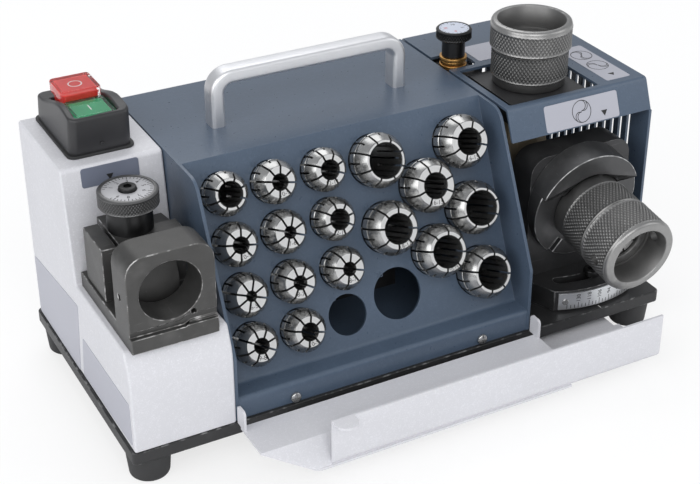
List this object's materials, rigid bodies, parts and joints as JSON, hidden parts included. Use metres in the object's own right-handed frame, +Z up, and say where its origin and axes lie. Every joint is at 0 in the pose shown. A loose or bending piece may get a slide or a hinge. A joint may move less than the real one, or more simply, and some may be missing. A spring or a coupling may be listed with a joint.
{
  "type": "drill bit grinder",
  "caption": "Bench grinder for twist drills with a sloping collet rack, a setting gauge, a swivelling point port, a top web port, knurled chucks and a chip tray.",
  "frame": {"origin": "centre of the footprint, on the surface that the feet stand on", "axes": "+X to the right along the longest side, +Y to the back, +Z up"},
  "size_m": [0.3656, 0.2226, 0.1948],
  "materials": {
    "blue_paint": "blue-grey powder coat on sheet steel, satin",
    "white_paint": "white powder coat on sheet steel, satin",
    "black_paint": "black paint on machined steel plate",
    "black_steel": "blackened machined steel with brighter edges",
    "black_plastic": "moulded black plastic, fine grain",
    "rubber": "moulded black rubber",
    "silver": "satin anodised aluminium",
    "grey_steel": "grey turned and knurled steel",
    "ground_steel": "bright ground steel",
    "scale_plate": "satin silver strip with engraved marks",
    "red_plastic": "translucent red button cap",
    "green_plastic": "translucent green button cap",
    "brass": "turned brass",
    "motor_housing": "cast motor housing",
    "grit": "abrasive grit on a steel core"
  },
  "bodies": {
    "root": {"base_plate": "black_paint", "foot_front_left": "rubber", "foot_front_right": "rubber", "foot_rear_left": "rubber", "foot_rear_right": "rubber", "switch_housing": "white_paint", "rack_cover": "blue_paint", "carry_handle": "silver", "wheel_cover": "blue_paint", "switch_gasket": "rubber", "switch_body": "black_plastic", "gauge_body": "black_steel", "gauge_side_block": "black_steel", "dial_hub": "black_steel", "dial_screw": "grey_steel", "motor": "motor_housing", "motor_bracket": "black_paint", "bulkhead": "black_paint", "cover_screw_1": "grey_steel", "cover_screw_2": "grey_steel"},
    "start_button": {"start_button": "green_plastic"},
    "stop_button": {"stop_button": "red_plastic"},
    "web_dial": {"web_dial": "black_steel"},
    "gauge_slide": {"gauge_slide": "ground_steel"},
    "port_plate": {"top_port_plate": "black_steel", "feed_lock_ring": "brass"},
    "feed_knob": {"feed_knob": "black_steel"},
    "top_collet": {"top_collet": "ground_steel"},
    "top_chuck_sleeve": {"top_chuck_sleeve": "grey_steel"},
    "top_chuck_nut": {"top_chuck_nut": "grey_steel"},
    "swivel": {"swivel_base": "black_steel", "angle_scale": "scale_plate", "swivel_bracket": "black_steel", "cam_disc": "black_steel"},
    "clamp_screw": {"swivel_clamp_screw": "grey_steel"},
    "front_collet": {"front_collet": "ground_steel"},
    "front_chuck_sleeve": {"front_chuck_sleeve": "grey_steel"},
    "front_chuck_nut": {"front_chuck_nut": "grey_steel"},
    "spindle": {"motor_shaft": "ground_steel", "grinding_wheel": "grit", "wheel_nut": "grey_steel"},
    "chip_tray": {"chip_tray": "white_paint"},
    "small_collet_A1": {"small_collet_A1": "ground_steel"},
    "small_collet_A2": {"small_collet_A2": "ground_steel"},
    "small_collet_A3": {"small_collet_A3": "ground_steel"},
    "small_collet_A4": {"small_collet_A4": "ground_steel"},
    "small_collet_B1": {"small_collet_B1": "ground_steel"},
    "small_collet_B2": {"small_collet_B2": "ground_steel"},
    "small_collet_B3": {"small_collet_B3": "ground_steel"},
    "small_collet_B4": {"small_collet_B4": "ground_steel"},
    "small_collet_C1": {"small_collet_C1": "ground_steel"},
    "small_collet_C2": {"small_collet_C2": "ground_steel"},
    "small_collet_C3": {"small_collet_C3": "ground_steel"},
    "large_collet_D1": {"large_collet_D1": "ground_steel"},
    "large_collet_D2": {"large_collet_D2": "ground_steel"},
    "large_collet_E1": {"large_collet_E1": "ground_steel"},
    "large_collet_E2": {"large_collet_E2": "ground_steel"},
    "large_collet_F1": {"large_collet_F1": "ground_steel"},
    "large_collet_F2": {"large_collet_F2": "ground_steel"},
    "large_collet_F3": {"large_collet_F3": "ground_steel"}
  },
  "joints": [
    {"name": "start_button_press", "type": "slide", "parent": "root", "child": "start_button", "axis": [0, 0, -1], "range_m": [0, 0.003], "stiffness_N_per_m": 300, "springref_m": -0.002},
    {"name": "stop_button_press", "type": "slide", "parent": "root", "child": "stop_button", "axis": [0, 0, -1], "range_m": [0, 0.003], "stiffness_N_per_m": 300, "springref_m": -0.002},
    {"name": "web_dial_turn", "type": "hinge", "parent": "root", "child": "web_dial", "pos_m": [-0.15275, 0.00426, 0.144], "axis": [0, 0, 1], "range_deg": [0, 300]},
    {"name": "gauge_slide_move", "type": "slide", "parent": "root", "child": "gauge_slide", "axis": [0, -1, 0], "range_m": [0, 0.0025]},
    {"name": "port_plate_lift", "type": "slide", "parent": "root", "child": "port_plate", "axis": [0, 0, 1], "range_m": [0, 0.0012]},
    {"name": "feed_knob_turn", "type": "hinge", "parent": "port_plate", "child": "feed_knob", "pos_m": [0.08975, 0.06276, 0.1615], "axis": [0, 0, 1], "range_deg": [0, 360]},
    {"name": "top_chuck_lift", "type": "slide", "parent": "port_plate", "child": "top_collet", "axis": [0, 0, 1], "range_m": [0, 0.045]},
    {"name": "top_chuck_turn", "type": "hinge", "parent": "top_collet", "child": "top_chuck_sleeve", "pos_m": [0.11985, 0.02156, 0.1535], "axis": [0, 0, 1], "continuous": true},
    {"name": "top_nut_turn", "type": "hinge", "parent": "top_chuck_sleeve", "child": "top_chuck_nut", "pos_m": [0.11985, 0.02156, 0.1535], "axis": [0, 0, 1], "continuous": true},
    {"name": "swivel_turn", "type": "hinge", "parent": "root", "child": "swivel", "pos_m": [0.13225, 0.01826, 0.0247], "axis": [0, 0, 1], "range_deg": [-14, 11]},
    {"name": "clamp_screw_turn", "type": "hinge", "parent": "root", "child": "clamp_screw", "pos_m": [0.13523, -0.03866, 0.0396], "axis": [0, 0, 1], "range_deg": [0, 180]},
    {"name": "front_chuck_slide", "type": "slide", "parent": "swivel", "child": "front_collet", "axis": [0, -0.989, -0.1478], "range_m": [0, 0.045]},
    {"name": "front_chuck_turn", "type": "hinge", "parent": "front_collet", "child": "front_chuck_sleeve", "pos_m": [0.13125, -0.03174, 0.0875], "axis": [0, -0.989, -0.1478], "continuous": true},
    {"name": "front_nut_turn", "type": "hinge", "parent": "front_chuck_sleeve", "child": "front_chuck_nut", "pos_m": [0.13125, -0.03174, 0.0875], "axis": [0, -0.989, -0.1478], "continuous": true},
    {"name": "spindle_turn", "type": "hinge", "parent": "root", "child": "spindle", "pos_m": [0.12225, 0.05726, 0.0935], "axis": [1, 0, 0], "continuous": true},
    {"name": "tray_slide", "type": "slide", "parent": "root", "child": "chip_tray", "axis": [0, -1, 0], "range_m": [0, 0.06]},
    {"name": "small_collet_A1_pull", "type": "slide", "parent": "root", "child": "small_collet_A1", "axis": [0, -0.9171, 0.3987], "range_m": [0, 0.03]},
    {"name": "small_collet_A2_pull", "type": "slide", "parent": "root", "child": "small_collet_A2", "axis": [0, -0.9171, 0.3987], "range_m": [0, 0.03]},
    {"name": "small_collet_A3_pull", "type": "slide", "parent": "root", "child": "small_collet_A3", "axis": [0, -0.9171, 0.3987], "range_m": [0, 0.03]},
    {"name": "small_collet_A4_pull", "type": "slide", "parent": "root", "child": "small_collet_A4", "axis": [0, -0.9171, 0.3987], "range_m": [0, 0.03]},
    {"name": "small_collet_B1_pull", "type": "slide", "parent": "root", "child": "small_collet_B1", "axis": [0, -0.9171, 0.3987], "range_m": [0, 0.03]},
    {"name": "small_collet_B2_pull", "type": "slide", "parent": "root", "child": "small_collet_B2", "axis": [0, -0.9171, 0.3987], "range_m": [0, 0.03]},
    {"name": "small_collet_B3_pull", "type": "slide", "parent": "root", "child": "small_collet_B3", "axis": [0, -0.9171, 0.3987], "range_m": [0, 0.03]},
    {"name": "small_collet_B4_pull", "type": "slide", "parent": "root", "child": "small_collet_B4", "axis": [0, -0.9171, 0.3987], "range_m": [0, 0.03]},
    {"name": "small_collet_C1_pull", "type": "slide", "parent": "root", "child": "small_collet_C1", "axis": [0, -0.9171, 0.3987], "range_m": [0, 0.03]},
    {"name": "small_collet_C2_pull", "type": "slide", "parent": "root", "child": "small_collet_C2", "axis": [0, -0.9171, 0.3987], "range_m": [0, 0.03]},
    {"name": "small_collet_C3_pull", "type": "slide", "parent": "root", "child": "small_collet_C3", "axis": [0, -0.9171, 0.3987], "range_m": [0, 0.03]},
    {"name": "large_collet_D1_pull", "type": "slide", "parent": "root", "child": "large_collet_D1", "axis": [0, -0.9171, 0.3987], "range_m": [0, 0.036]},
    {"name": "large_collet_D2_pull", "type": "slide", "parent": "root", "child": "large_collet_D2", "axis": [0, -0.9171, 0.3987], "range_m": [0, 0.036]},
    {"name": "large_collet_E1_pull", "type": "slide", "parent": "root", "child": "large_collet_E1", "axis": [0, -0.9171, 0.3987], "range_m": [0, 0.036]},
    {"name": "large_collet_E2_pull", "type": "slide", "parent": "root", "child": "large_collet_E2", "axis": [0, -0.9171, 0.3987], "range_m": [0, 0.036]},
    {"name": "large_collet_F1_pull", "type": "slide", "parent": "root", "child": "large_collet_F1", "axis": [0, -0.9171, 0.3987], "range_m": [0, 0.036]},
    {"name": "large_collet_F2_pull", "type": "slide", "parent": "root", "child": "large_collet_F2", "axis": [0, -0.9171, 0.3987], "range_m": [0, 0.036]},
    {"name": "large_collet_F3_pull", "type": "slide", "parent": "root", "child": "large_collet_F3", "axis": [0, -0.9171, 0.3987], "range_m": [0, 0.036]}
  ],
  "couplings": [
    {"joint": "gauge_slide_move", "follows": "web_dial_turn", "m_per_rad": 0.000477},
    {"joint": "feed_knob_turn", "follows": "port_plate_lift", "rad_per_m": 5235}
  ]
}
